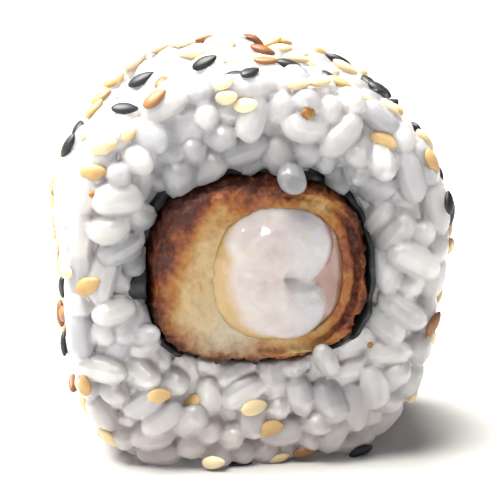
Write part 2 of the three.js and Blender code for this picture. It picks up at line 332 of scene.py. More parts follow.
GRAIN_LENGTH, GRAIN_WIDTH, GRAIN_THICKNESS = 6.0, 3.7, 3.3
GRAIN_BLUNT, GRAIN_GIRTH = 0.8, 2.6  # powers that fill out its tips and its girth
GRAIN_BEND = 0.1  # how far its middle bows out, as a share of its width
GRAINS = 760
SETTLING = 90  # rounds in which the grains push each other apart
PUSH = 0.22  # the share of its overlap by which a grain moves in one round
SQUASH = 0.76  # sticky grains press into each other to this share of their width
WALL_PRESS = 1.15  # how near the grains' middles come to the outer wall
NEAR_WALL = 2.5  # a grain whose middle is nearer to it than this lies flat against it
WALL_PULL, WALL_STEP = 0.6, 0.5  # in one round it moves by this share of the way, and of this much at most
FIRST_CLEAR = (1.5, 1.2, 1)  # how far from the wall, the bore and the cut faces the grains' middles start
CORE_UNDER = 3.4  # the pressed rice starts this far under the cut faces
CORE_IN, CORE_OUT = 1.4, 3.4  # and this far outside the batter and inside the outer wall
ON_SHEET = 1.5  # the grains' middles keep this far off the seaweed under them
OFF_EDGE, OFF_SHOWN = -0.2, 1.6  # this far near its edge and past it, and further where that edge shows
ON_BOARD = 1.2  # and this far above the flat that the slice rests on
SKIN = 0.19  # the size of the finest shape in the rice's skin
MOST_TRIANGLES = 195000
PROUD = 0.9  # the most that a grain stands out of the wall that the rolling mat pressed
AT_FACE = (-1.0, 0.3)  # how far out of the cut faces a grain may stand
FACED = 0.75  # the share of its length within which a grain belongs to a cut face
FACING = 2.2  # how much the grains at the cut faces look out of them
TURNING = 0.02  # how much each round of settling turns them that way
LENGTHS, SIZES = (0.88, 1.1), (0.9, 1.12)  # how much the grains differ in length, and in every measure
DEEP = 3  # grains whose middles are this far inside the wall are rolled about their length at random
RECESS_SHADE_WIDTH, RECESS_SHADE_TILT = 6, 0.4  # painted shade of the recess beside the filling darkens the rice over this width, and more above it than below
PAINTED_UNDERLIGHT_FROM, PAINTED_UNDERLIGHT_HEIGHT = 0.9, 9  # painted light from below: the underside is lighter and rosier, fading out upwards

# Grains that lie over the edge of the filling, each from one bead's middle to the other's, about the axis.
LOOSE_GRAINS = (
    ((3.7, -12.0, 34.2), (3.6, -11.2, 34.7)),
    ((-12.4, -12.0, 16.9), (-13.6, -9.0, 16.2)),
    ((7.1, -12.2, 13.9), (8.3, -10.4, 11.2)),
)
LOOSE_SLIM = (0.85, 1, 0.85)  # they are a little slimmer than the others
LOOSE_TIPS = 0.7  # how far they reach past their beads, as a share of their width


def new_grain():
    """A grain of rice at unit size: a blunt spindle with a slight bend."""
    bpy.ops.mesh.primitive_uv_sphere_add(segments=10, ring_count=8, radius=0.5, rotation=(math.pi / 2, 0, 0))
    grain = newest("grain")
    bpy.ops.object.transform_apply(rotation=True)
    shape = places_of(grain) * MM
    blunt = 0.5 * np.sign(shape[:, 1]) * (2 * np.abs(shape[:, 1])) ** GRAIN_BLUNT
    girth = np.sqrt(np.maximum(1 - (2 * np.abs(blunt)) ** GRAIN_GIRTH, 0)) / np.maximum(
        np.sqrt(np.maximum(1 - (2 * shape[:, 1]) ** 2, 0)), 1e-3)
    shape[:, 0] = shape[:, 0] * girth + GRAIN_BEND * (1 - (2 * blunt) ** 2) - GRAIN_BEND / 2
    shape[:, 2] *= girth
    shape[:, 1] = blunt
    place(grain, shape / MM)
    return grain


def random_ways(rng, count):
    return unit_vectors(rng.normal(size=(count, 3)))


def scattered_in_slice(rng, count):
    """Random middles inside the ring of rice, a little clear of its wall, bore and cut faces."""
    off_wall, off_bore, off_face = FIRST_CLEAR
    kept = []
    while len(kept) < count:
        spot = rng.uniform([-24, -SLICE / 2, 0], [24, SLICE / 2, 48], (400, 3)) + [AXIS_X, AXIS_Y, 0]
        inside = (wall_room(spot) > off_wall) & (bore_room(spot) > off_bore)
        kept.extend(spot[inside & (np.abs(spot[:, 1] - AXIS_Y) < half_depth(spot) - off_face)])
    return np.array(kept[:count])


def settled(rng):
    """Lets a slice full of grains push each other apart: returns each grain's two bead ends and length."""
    lengths = GRAIN_LENGTH * rng.uniform(*LENGTHS, GRAINS)
    reach = (lengths - GRAIN_WIDTH) / 2
    middles, ways = scattered_in_slice(rng, GRAINS), random_ways(rng, GRAINS)
    at_face = half_depth(middles) - np.abs(middles[:, 1] - AXIS_Y) < GRAIN_LENGTH * FACED
    ways[at_face, 1] += FACING
    ways = unit_vectors(ways)
    ends = np.stack([middles - ways * reach[:, None], middles + ways * reach[:, None]], 1)
    proud = rng.uniform(*AT_FACE, GRAINS)
    shares = np.array([0, 0.5, 1])
    for _ in range(SETTLING):
        middles = ends.mean(1)
        apart = np.linalg.norm(middles[:, None] - middles[None], axis=2)
        one, other = np.nonzero(np.triu(apart < GRAIN_LENGTH, 1))
        beads = ends[:, :1] * (1 - shares[None, :, None]) + ends[:, 1:] * shares[None, :, None]
        pushes = np.zeros_like(ends)
        for a, share_a in enumerate(shares):
            for b, share_b in enumerate(shares):
                between = beads[one, a] - beads[other, b]
                distance = np.maximum(np.linalg.norm(between, axis=1), 1e-6)
                overlap = np.maximum(SQUASH * GRAIN_WIDTH - distance, 0)
                push = between * (PUSH * overlap / distance)[:, None]
                for end, part_a, part_b in ((0, 1 - share_a, 1 - share_b), (1, share_a, share_b)):
                    np.add.at(pushes[:, end], one, push * part_a)
                    np.add.at(pushes[:, end], other, -push * part_b)
        ends += np.clip(pushes, -1, 1)
        ends = kept_inside(ends, proud)
        middles, ways = ends.mean(1), unit_vectors(ends[:, 1] - ends[:, 0])
        ways[at_face, 1] += TURNING * np.sign(ways[at_face, 1])
        ways = unit_vectors(ways)
        ends = np.stack([middles - ways * reach[:, None], middles + ways * reach[:, None]], 1)
    return ends, lengths


def kept_inside(ends, proud):
    """Moves bead ends back into the slice, and the outermost grains flat against its wall."""
    near_wall = wall_room(ends.mean(1)) < NEAR_WALL
    for end in (0, 1):
        spots = ends[:, end]
        room = wall_room(spots) - WALL_PRESS
        moving = near_wall | (room < 0)
        spots = moved_out(spots, RICE, np.where(moving, np.minimum(room, WALL_STEP) * WALL_PULL, 0))
        near_edge = np.abs(spots[:, 1] - AXIS_Y) > SHEET_DEPTH - GRAIN_WIDTH
        angle, _ = polar(spots, COAT)
        shown = np.minimum(sum(bell(angle, mark) for mark in SHEET_SHOWS), 1)
        kept_off = np.where(near_edge, OFF_EDGE + OFF_SHOWN * shown, ON_SHEET)
        spots = moved_out(spots, COAT, np.maximum(kept_off - bore_room(spots), 0))
        depth = half_depth(spots) - GRAIN_WIDTH / 2 + proud
        spots[:, 1] = np.clip(spots[:, 1], AXIS_Y - depth, AXIS_Y + depth)
        spots[:, 2] = np.maximum(spots[:, 2], ON_BOARD)
        ends[:, end] = spots
    return ends


def press(piece):
    """Flattens the rice: the rolling mat its wall, the filling its bore and the board its underside."""
    spots = places_of(piece)
    above = np.maximum(-wall_room(spots), 0)
    spots = moved_out(spots, RICE, PROUD * np.tanh(above / PROUD) - above)
    past_sheet = np.abs(spots[:, 1] - AXIS_Y) > SHEET_DEPTH + GAP
    room = bore_room(spots) + np.where(past_sheet, SHEET + GAP, 0)
    beside = np.abs(spots[:, 1] - AXIS_Y) < COAT_DEPTH - GAP
    spots = moved_out(spots, COAT, np.where(beside, np.maximum(-room, 0), 0))
    spots[:, 2] = np.maximum(spots[:, 2], 0)
    place(piece, spots)


def make_rice(rng):
    """Grains of rice stuck together in a slice round the filling, each with its own tone."""
    ends, lengths = settled(rng)
    loose = np.array(LOOSE_GRAINS) + [AXIS_X, AXIS_Y, 0]
    ends = np.concatenate([ends, loose])
    middles, along = ends.mean(1), ends[:, 1] - ends[:, 0]
    lengths = np.concatenate([lengths, np.linalg.norm(along[GRAINS:], axis=1) + GRAIN_WIDTH * LOOSE_TIPS])
    angle, _ = polar(middles, RICE)
    out = np.stack([np.cos(angle), np.zeros(len(ends)), np.sin(angle)], 1)
    deep = wall_room(middles) > DEEP
    out[deep] = random_ways(rng, int(deep.sum()))
    sizes = np.stack([np.full(len(ends), GRAIN_WIDTH), lengths, np.full(len(ends), GRAIN_THICKNESS)], 1)
    sizes *= rng.uniform(*SIZES, (len(ends), 1))
    sizes[GRAINS:] *= LOOSE_SLIM
    grain = new_grain()
    grains = joined("grains", grain, sizes, middles, axes_of(along, out))
    bpy.data.objects.remove(grain)
    rice = new_tube("rice_grains", 48, 5)
    bend_tube(
        rice, COAT, lambda angle: radius(COAT, angle) + CORE_IN,
        lambda angle: to_edge(angle, COAT, RICE) - CORE_OUT, 1,
    )
    spots = places_of(rice)
    spots[:, 1] = AXIS_Y + (spots[:, 1] - AXIS_Y) * (half_depth(spots) - CORE_UNDER)
    place(rice, spots)
    rice = one_skin([rice, grains], SKIN)
    press(rice)
    tree = KDTree(3 * len(ends))
    for n, (one, two) in enumerate(ends):
        for share in (0, 0.5, 1):
            tree.insert(one + (two - one) * share, n)
    tree.balance()
    tones = rng.random(len(ends))
    spots = places_of(rice)
    note(rice, "tone", [tones[tree.find(spot)[1]] for spot in spots])
    # Painted shade: the rice is darker and greyer towards the filling, where the recess beside it lies, more
    # above it than below.
    angle, _ = polar(spots, COAT)
    shade_more_above = 1 - RECESS_SHADE_TILT + RECESS_SHADE_TILT * np.sin(angle)
    note(rice, "painted_recess_shade", np.clip(1 - bore_room(spots) / RECESS_SHADE_WIDTH, 0, 1) * shade_more_above)
    # Painted light from below: the underside is lighter and rosier, fading out upwards.
    note(rice, "low", np.clip(PAINTED_UNDERLIGHT_FROM - spots[:, 2] / PAINTED_UNDERLIGHT_HEIGHT, 0, 1))
    return rice


# ------------------------------------------------------------------ the filling

# Where the batter is paler or, if less than 0, darker: its angle, distance from the squid,
# spread along the squid's edge in degrees, half width in millimetres, and shade.
PATCHES = (
    (50, 0.6, 14, 1.2, 0.7),
    (5, 3.2, 22, 1.0, 0.15),
    (-62, 1.3, 22, 0.8, 0.4),
    (-39, 2.8, 12, 1.2, 0.3),
    (-80, 0.9, 10, 0.6, -0.3),
    (132, 4.2, 15, 1.7, -0.35),
    (158, 4.5, 16, 1.5, -0.25),
    (200, 2.6, 16, 1.6, 0.3),
    (120, 1.5, 14, 1.0, 0.2),
    (230, 5.5, 12, 1.2, -0.15),
)
FOLD, FOLD_DEPTH, FOLD_PAINTED_SHADE = (0, 0.7, 62, 0.35), 1.1, -0.3  # a groove where it folded over in the pan, its colour darkened there by painted shade
DRAB = (243, 1, 30)  # where its dough is greyer
DISH_WIDTH, DISH_DEPTH = 3, 0.35  # its cut face dips towards the squid
LAP = 1  # it laps this far over the squid's edge
LEAST_ROUGH = 0.4  # the share of the crust's roughness that its dough has
SUNK_USUALLY = 0.3  # how far in the usual crag goes
NEAR_FACE = 0.7  # the share of its length past which it belongs to a cut face
CRUMB_PALE = 0.5  # how pale the crumbs on the rice are
CRISP = ((10, 0.35, 50), (250, -0.35, 50), (305, -0.3, 22))  # where frying coloured it deeper or less deep


def make_seaweed():
    """A wet sheet of pressed seaweed, one turn round the batter, with its end standing out on the left."""
    sheet = new_tube("seaweed_sheet", 64, 5)
    bend_tube(
        sheet, COAT, lambda angle: radius(COAT, angle) + GAP,
        lambda angle: radius(COAT, angle) + GAP + SHEET + SHEET_TIP[1] * bell(angle, SHEET_TIP), SHEET_DEPTH,
    )
    spots = places_of(sheet)
    angle, _ = polar(spots, COAT)
    along = (spots[:, 1] - AXIS_Y) / SHEET_DEPTH
    spots[:, 1] -= (spots[:, 1] - AXIS_Y) * SHEET_TILT * np.sin(angle)
    wander = SHEET_WAVE * (np.sin(7 * angle) + 0.7 * np.sin(12 * angle + 1) + 0.5 * np.sin(31 * angle))
    wander += sum(mark[1] * bell(angle, mark) for mark in SHEET_SHOWS)
    spots[:, 1] += np.sign(along) * np.abs(along) ** 6 * wander
    place(sheet, moved_out(spots, COAT, 0.1 * np.sin(23 * angle + 9 * along)))
    return sheet


def to_squid(angle):
    """The squid's edge, from the middle of the batter."""
    return to_edge(angle, COAT, SQUID)


def patch(spots, middle, away, spread, wide):
    """A soft-edged patch of the batter's face that follows the squid's outline."""
    angle, out = polar(spots, COAT)
    return np.exp(-(((out - to_squid(angle) - away) / wide) ** 2)) * bell(angle, (middle, 1, spread))


def crust_room(points):
    """How far points lie inside the batter's outer edge, in its section."""
    angle, out = polar(points, COAT)
    return radius(COAT, angle) - out


def make_batter():
    """Fried batter: craggy crumbs at its dark rim, smooth steamed dough beside the squid."""
    batter = new_tube("fried_batter", 48, 7)
    bend_tube(batter, COAT, lambda angle: to_squid(angle) - LAP, lambda angle: radius(COAT, angle), 1)
    spots = places_of(batter)
    rim = np.clip(1 - crust_room(spots) / BEVEL_WIDTH, 0, 1)
    angle, out = polar(spots, COAT)
    beside = np.clip(1 - (out - to_squid(angle)) / DISH_WIDTH, 0, 1)
    depth = COAT_DEPTH - COAT_BEVEL * rim**2 - DISH_DEPTH * beside**2
    spots[:, 1] = AXIS_Y + (spots[:, 1] - AXIS_Y) * depth
    place(batter, spots)
    finish_with(batter, "REMESH", mode="VOXEL", voxel_size=CRUMB_SKIN * MM, use_smooth_shade=True)
    spots = places_of(batter)
    side = (spots[:, 1] - AXIS_Y) / COAT_DEPTH
    spots[:, 1] -= np.sign(side) * (np.abs(side) > NEAR_FACE) * FOLD_DEPTH * patch(spots, *FOLD)
    place(batter, spots)
    rough = batter.vertex_groups.new(name="rough")
    for n, room in enumerate(crust_room(spots)):
        crusty = np.clip(1 - room / CRUST, 0, 1) ** 0.6
        rough.add([n], float(LEAST_ROUGH + (1 - LEAST_ROUGH) * crusty), "REPLACE")
    for size, depth in CRUMBS:
        crumbs = bpy.data.textures.new("crumbs", "CLOUDS")
        crumbs.noise_scale, crumbs.noise_depth, crumbs.noise_basis = size * MM, 1, "ORIGINAL_PERLIN"
        finish_with(batter, "DISPLACE", texture=crumbs, texture_coords="LOCAL", strength=depth * MM,
                    mid_level=0.6, vertex_group="rough")
    batter.vertex_groups.clear()
    crumbled = places_of(batter)
    sunk = np.linalg.norm(crumbled - spots, axis=1)
    spots = moved_out(crumbled, COAT, np.minimum(crust_room(crumbled) + GAP / 2, 0))
    place(batter, spots)
    angle, _ = polar(spots, COAT)
    span = CRUST_SPAN * (1 + sum(mark[1] * bell(angle, mark) for mark in CRISP))
    pale = np.clip(crust_room(spots) / span, 0, 1) + SUNK_PALER * (sunk - SUNK_USUALLY)
    pale += sum(shade * patch(spots, *where) for *where, shade in PATCHES)
    # The fold's groove is real, and its colour is darkened further by painted shade.
    note(batter, "pale", pale + FOLD_PAINTED_SHADE * patch(spots, *FOLD))
    note(batter, "drab", bell(angle, DRAB))
    return batter


# The squid's cut face swells out in three lobes, placed from its middle.
# The smaller the power, the steeper the edge.
Lobe = namedtuple("Lobe", "x z wide tall rise power")
LOBES = (
    Lobe(-0.9, 0, 6.9, 8.2, 1.2, 0.9),
    Lobe(1.4, 3.3, 4.6, 4.6, 1.1, 0.5),
    Lobe(1.1, -3.8, 4.3, 3.9, 1.0, 0.5),
)

# Small ridges of wet flesh on it catch the light.
RIDGES = ((-3.6, 0.7), (-2.4, -0.7), (4.0, -1.9), (0.6, -3.3))
RIDGE_LENGTH, RIDGE_WIDTH, RIDGE_RISE = 0.6, 0.3, 0.22
SQUID_RIGHT = (0, 1, 45)  # where its edge lies further in
FULL, FLAT = 0.8, 0.06  # powers that fill out its section and flatten its cut faces
UNDER_RISE, UNDER_FROM, UNDER_SPAN = 0.35, 2.2, 1.5  # how low, and how far right, the rosy layer shows
COOL_SHARE, COOL_FROM, COOL_SPAN = 1.2, -0.5, 4  # how the bluish tint grows with the lobes and to the right
FLESH = ((3.5, 0.35), (1.3, 0.12))  # the unevenness of its flesh: sizes and depths
STAIN, STAIN_WIDTH, LEAST_STAIN = (195, 1, 60), 3.4, 0.4  # where the batter stained its edge, and how far in


def make_squid():
    """A strip of cooked squid, cut across: its face swells out in lobes, with a notch between two of them."""
    bpy.ops.mesh.primitive_uv_sphere_add(segments=96, ring_count=96, radius=1, rotation=(math.pi / 2, 0, 0))
    squid = newest("squid_strip")
    bpy.ops.object.transform_apply(rotation=True)
    unit = places_of(squid) * MM
    angle = np.arctan2(unit[:, 2], unit[:, 0])
    across = np.clip(np.hypot(unit[:, 0], unit[:, 2]), 0, 1) ** FULL
    x, z = (across * radius(SQUID, angle) * way for way in (np.cos(angle), np.sin(angle)))
    swells = []
    for lobe in LOBES:
        inside = np.maximum(1 - ((x - lobe.x) / lobe.wide) ** 2 - ((z - lobe.z) / lobe.tall) ** 2, 0)
        swells.append(lobe.rise * inside**lobe.power)
    swell_out = np.sum(np.array(swells) ** 4, 0) ** 0.25
    for at, up in RIDGES:
        along, aside = ((x - at) + (z - up)) / math.sqrt(2), ((x - at) - (z - up)) / math.sqrt(2)
        swell_out += RIDGE_RISE * np.exp(-((along / RIDGE_LENGTH) ** 2) - (aside / RIDGE_WIDTH) ** 2)
    flat = np.sign(unit[:, 1]) * np.abs(unit[:, 1]) ** FLAT
    out = SQUID_DEPTH + SQUID_RAISED * (1 - bell(angle, SQUID_RIGHT)) + swell_out
    place(squid, np.stack([AXIS_X + SQUID.x + x, AXIS_Y + out * flat, SQUID.z + z], 1))
    finish_with(squid, "SMOOTH", factor=0.5, iterations=2)
    for size, depth in FLESH:
        flesh = bpy.data.textures.new("flesh", "CLOUDS")
        flesh.noise_scale, flesh.noise_depth = size * MM, 1
        finish_with(squid, "DISPLACE", texture=flesh, texture_coords="LOCAL", strength=depth * MM,
                    mid_level=0.55)
    squid.data.shade_smooth()
    spots = places_of(squid)
    angle, out = polar(spots, SQUID)
    soaked = LEAST_STAIN + STAIN_WIDTH * bell(angle, STAIN)
    note(squid, "soaked", np.clip(1 - (radius(SQUID, angle) - out) / soaked, 0, 1))
    lobed = np.max(swells[1:], 0)  # the two lobes at the right, and past them the rosy layer that they lie on
    right = np.clip((x - UNDER_FROM) / UNDER_SPAN, 0, 1)
    note(squid, "under", np.clip(1 - lobed / UNDER_RISE, 0, 1) * right)
    right = np.clip((x - COOL_FROM) / COOL_SPAN, 0, 1)
    note(squid, "cool", np.clip(lobed * COOL_SHARE, 0, 1) * right)
    return squid


# ------------------------------------------------------------------ sesame seeds

SEED_LENGTH, SEED_WIDTH, SEED_THICKNESS = 3.1, 1.9, 1.05
SEED_TAPER = 0.7  # how much narrower its tip is

# Where the photograph shows seeds: pixels across and down, and the seed's turn in degrees in the picture.
PHOTO_SEEDS = {
    "black": [
        (275, 189, 22), (307, 168, -4), (317, 151, 15), (354, 141, 14), (380, 147, 65), (431, 136, -38),
        (455, 157, -35), (495, 222, 88), (268, 304, -50), (373, 376, -5), (446, 369, 0),
    ],
    "pale": [
        (295, 189, 15), (309, 182, 35), (314, 140, 30), (341, 130, 10), (345, 136, 20), (366, 152, 5),
        (378, 165, 8), (371, 139, 0), (367, 160, 20), (398, 133, 20), (407, 139, -10), (407, 153, 10),
        (420, 152, 0), (435, 144, -30), (461, 167, -40), (274, 262, 0), (298, 358, -28), (382, 341, 5),
        (359, 373, 10), (397, 371, 35), (327, 129, 25),
    ],
    "golden": [
        (289, 204, 4), (294, 161, 45), (301, 151, 38), (290, 168, 50), (399, 125, -20), (392, 126, 10),
        (432, 153, -8), (458, 186, -20), (485, 198, -40), (286, 270, 28), (284, 328, 80), (327, 334, 0),
        (348, 338, 10), (392, 353, 8),
    ],
    "brown": [
        (352, 127, 8), (383, 122, 0), (387, 134, -30), (389, 140, -10), (268, 286, 60), (411, 368, 0),
        (486, 292, 70), (325, 162, 45),
    ],
}

# Where it shows crumbs: pixels across and down, and their sizes in millimetres.
PHOTO_CRUMBS = ((413.6, 169.2, 1.5), (287.9, 216.9, 0.8), (450, 305, 0.7))
SEED_LIFT = 0.25  # a seed's middle above the rice that it is pressed into
SEED_MIX = {"black": 0.2, "pale": 0.5, "golden": 0.2, "brown": 0.1}
MORE_SEEDS = 130  # on the sides that the photograph doesn't show
SEEDS_APART = 2.3  # the least distance between those
LOWEST_SEED, SEEDS_IN = 1.5, 1.5  # they lie this far above the board and inside the cut faces
SEED_SIZES = (0.88, 1.1)  # how much seeds differ
SEEN_WITHIN = 1.5  # a place shows in the photograph if the line of sight meets the rice this near to it
OUTSIDE = 40  # a line that starts this far from the slice's middle starts outside it

# The photograph's camera: the pixel that looks at the target, and the focal length in pixels.
PHOTO_PIXEL, PHOTO_FOCAL = (380, 252), 1498
PHOTO_AZIMUTH, PHOTO_ELEVATION, PHOTO_DISTANCE = math.radians(-8), math.radians(18), 300
PHOTO_TARGET = np.array([0, 0, 22])

BACK = np.array([
    math.sin(PHOTO_AZIMUTH) * math.cos(PHOTO_ELEVATION),
    -math.cos(PHOTO_AZIMUTH) * math.cos(PHOTO_ELEVATION),
    math.sin(PHOTO_ELEVATION),
])
RIGHT = np.array([math.cos(PHOTO_AZIMUTH), math.sin(PHOTO_AZIMUTH), 0])
RAISED = np.cross(BACK, RIGHT)
EYE = PHOTO_TARGET + BACK * PHOTO_DISTANCE


def new_seed():
    """A sesame seed at unit size: a flat teardrop with a rounded edge."""
    bpy.ops.mesh.primitive_uv_sphere_add(segments=12, ring_count=8, radius=0.5, rotation=(math.pi / 2, 0, 0))
    seed = newest("seed")
    bpy.ops.object.transform_apply(rotation=True)
    shape = places_of(seed) * MM
    taper = 1 - SEED_TAPER * np.clip(shape[:, 1] + 0.1, 0, 1) ** 1.4
    shape[:, 0] *= taper
    shape[:, 2] *= 0.5 + 0.5 * taper
    place(seed, shape / MM)
    return seed


def skin_tree(piece):
    """A piece's faces for finding what a line meets, in millimetres."""
    faces = [tuple(face.vertices) for face in piece.data.polygons]
    return BVHTree.FromPolygons(places_of(piece).tolist(), faces)


def seen_seed(tree, pixel_x, pixel_y):
    """The place on the rice that a pixel of the photograph shows, or the nearest to it."""
    across, up = pixel_x - PHOTO_PIXEL[0], PHOTO_PIXEL[1] - pixel_y
    way = -BACK + RIGHT * across / PHOTO_FOCAL + RAISED * up / PHOTO_FOCAL
    way /= np.linalg.norm(way)
    spot, _, _, _ = tree.ray_cast(EYE, way)
    if spot is None:
        past_edge = np.arange(PHOTO_DISTANCE - 30, PHOTO_DISTANCE + 30, 2.0)
        along = [tree.find_nearest(EYE + way * distance) for distance in past_edge]
        spot, _, _, _ = min(along, key=lambda found: found[3])
    return np.array(spot)


def lie_of(tree, spot):
    """The direction out of the rice round a spot, evened out over the breadth of a seed."""
    near = tree.find_nearest_range(spot, SEED_LENGTH / 2)
    return unit_vectors(np.sum([normal for _, normal, _, _ in near], 0)[None])[0]


def in_photo(tree, spot):
    """Whether the photograph's camera sees a place on the rice."""
    met, _, _, _ = tree.ray_cast(EYE, (spot - EYE) / np.linalg.norm(spot - EYE))
    return met is not None and np.linalg.norm(np.array(met) - spot) < SEEN_WITHIN


def make_seeds(rng, tree):
    """Sesame seeds pressed flat into the rice: where the photograph shows them, and on the other sides."""
    laid = {kind: [] for kind in SEED_MIX}
    taken = []

    def lay(kind, spot, along):
        normal = lie_of(tree, spot)
        laid[kind].append((spot + normal * SEED_LIFT, along - normal * np.dot(along, normal), normal))
        taken.append(spot)

    for kind, seen in PHOTO_SEEDS.items():
        for pixel_x, pixel_y, turn in seen:
            spot = seen_seed(tree, pixel_x, pixel_y)
            turned = math.radians(turn)
            lay(kind, spot, RIGHT * math.cos(turned) + RAISED * math.sin(turned))
    kinds, shares = list(SEED_MIX), list(SEED_MIX.values())
    added = 0
    while added < MORE_SEEDS:
        angle, y = rng.uniform(0, TURN), rng.uniform(-SLICE / 2 + SEEDS_IN, SLICE / 2 - SEEDS_IN)
        start = np.array([AXIS_X + OUTSIDE * math.cos(angle), AXIS_Y + y, RICE.z + OUTSIDE * math.sin(angle)])
        spot, _, _, _ = tree.ray_cast(start, (-math.cos(angle), 0, -math.sin(angle)))
        if spot is None:
            continue
        spot = np.array(spot)
        too_near = min(np.linalg.norm(taken - spot, axis=1)) < SEEDS_APART
        if spot[2] < LOWEST_SEED or in_photo(tree, spot) or too_near:
            continue
        lay(rng.choice(kinds, p=shares), spot, random_ways(rng, 1)[0])
        added += 1
    seed = new_seed()
    pieces = {}
    for kind, seeds in laid.items():
        middles, along, out = (np.array(part) for part in zip(*seeds))
        varied = rng.uniform(*SEED_SIZES, (len(seeds), 1))
        sizes = np.array([SEED_WIDTH, SEED_LENGTH, SEED_THICKNESS]) * varied
        pieces[kind] = joined(kind + "_sesame", seed, sizes, middles, axes_of(along, out))
        note(pieces[kind], "tone", np.repeat(rng.random(len(seeds)), len(seed.data.vertices)))
    bpy.data.objects.remove(seed)
    return pieces


def make_crumbs(tree):
    """Crumbs of fried batter that the knife dragged onto the rice."""
    bpy.ops.mesh.primitive_ico_sphere_add(subdivisions=3, radius=0.5)
    crumb = newest("crumb")
    rough = bpy.data.textures.new("crumb", "CLOUDS")
    rough.noise_scale = 0.4
    finish_with(crumb, "DISPLACE", texture=rough, texture_coords="LOCAL", strength=0.5, mid_level=0.5)
    spots = np.array([seen_seed(tree, *pixel) for *pixel, _ in PHOTO_CRUMBS])
    sizes = np.array([[size] * 3 for *_, size in PHOTO_CRUMBS])
    crumbs = joined("batter_crumbs", crumb, sizes, spots, np.tile(np.eye(3), (len(spots), 1, 1)))
    bpy.data.objects.remove(crumb)
    note(crumbs, "pale", np.full(len(crumbs.data.vertices), CRUMB_PALE))
    return crumbs


# ------------------------------------------------------------------ materials


def colour(code):
    """A hex colour as the eye sees it, turned to the linear values that the shader needs."""
    parts = [int(code[n : n + 2], 16) / 255 for n in (0, 2, 4)]
    return [(part / 12.92 if part <= 0.04045 else ((part + 0.055) / 1.055) ** 2.4) for part in parts] + [1]


def new_material(name):
    material = bpy.data.materials.new(name)
    material.use_nodes = True
    material.node_tree.nodes.clear()
    return material


def add(material, kind, inputs=(), stops=(), **settings):
    """Adds a node with its settings, its inputs (a value or another node's output) and a ramp's stops."""
    made = material.node_tree.nodes.new(kind)
    for name, value in settings.items():
        setattr(made, name, value)
    for name, value in dict(inputs).items():
        found = [one for one in made.inputs if one.enabled and one.name == name]
        socket = found[0] if found else made.inputs[name]
        if isinstance(value, bpy.types.NodeSocket):
            material.node_tree.links.new(value, socket)
        else:
            socket.default_value = value
    while stops and len(made.color_ramp.elements) < len(stops):
        made.color_ramp.elements.new(1)
    for element, (spot, code) in zip(made.color_ramp.elements if stops else (), stops):
        element.position, element.color = spot, colour(code)
    return made


def finish_material(material, shader):
    add(material, "ShaderNodeOutputMaterial", {"Surface": shader.outputs["BSDF"]})
    return material


def steamed_rice():
    """Short-grain rice, steamed and pressed by a rolling mat: soft grains of starch gel under a sticky film.

    Light goes a millimetre or two into them, so their edges glow and the gaps between them stay light.
    The film gives each grain a small soft shine. Its unevenness is too fine to show, so it is coarser here.
    """
    material = new_material("steamed_short_grain_rice")
    where = add(material, "ShaderNodeTexCoord").outputs["Object"]
    tone = add(material, "ShaderNodeAttribute", attribute_name="tone").outputs["Fac"]
    dry = add(material, "ShaderNodeValToRGB", {"Fac": tone}, stops=[
        (0, "bcbdc5"), (0.4, "d6d5d9"), (1, "ebe9e9"),
    ])
    tint = dry.outputs["Color"]
    for name, code in (("painted_recess_shade", "a3a4a9"), ("low", "efe2df")):  # painted shade in the recess beside the filling, and painted light on the underside, lighter and rosier
        share = add(material, "ShaderNodeAttribute", attribute_name=name).outputs["Fac"]
        tint = add(material, "ShaderNodeMix", {
            "Factor": share, "A": tint, "B": colour(code),
        }, data_type="RGBA").outputs["Result"]
    fine = add(material, "ShaderNodeTexNoise", {"Vector": where, "Scale": 1 / (0.9 * MM), "Detail": 3.0})
    bump = add(material, "ShaderNodeBump", {
        "Height": fine.outputs["Fac"], "Strength": 0.25, "Distance": 0.12 * MM,
    })
    shader = add(material, "ShaderNodeBsdfPrincipled", {
        "Base Color": tint,
        "Subsurface Weight": 1.0,
        "Subsurface Radius": (1.0, 0.95, 0.9),
        "Subsurface Scale": 2.2 * MM,
        "Transmission Weight": 0.5,
        "Roughness": 0.3,
        "IOR": 1.38,
        "Coat Weight": 0.35,
        "Coat Roughness": 0.2,
        "Normal": bump.outputs["Normal"],
    })
    return finish_material(material, shader)


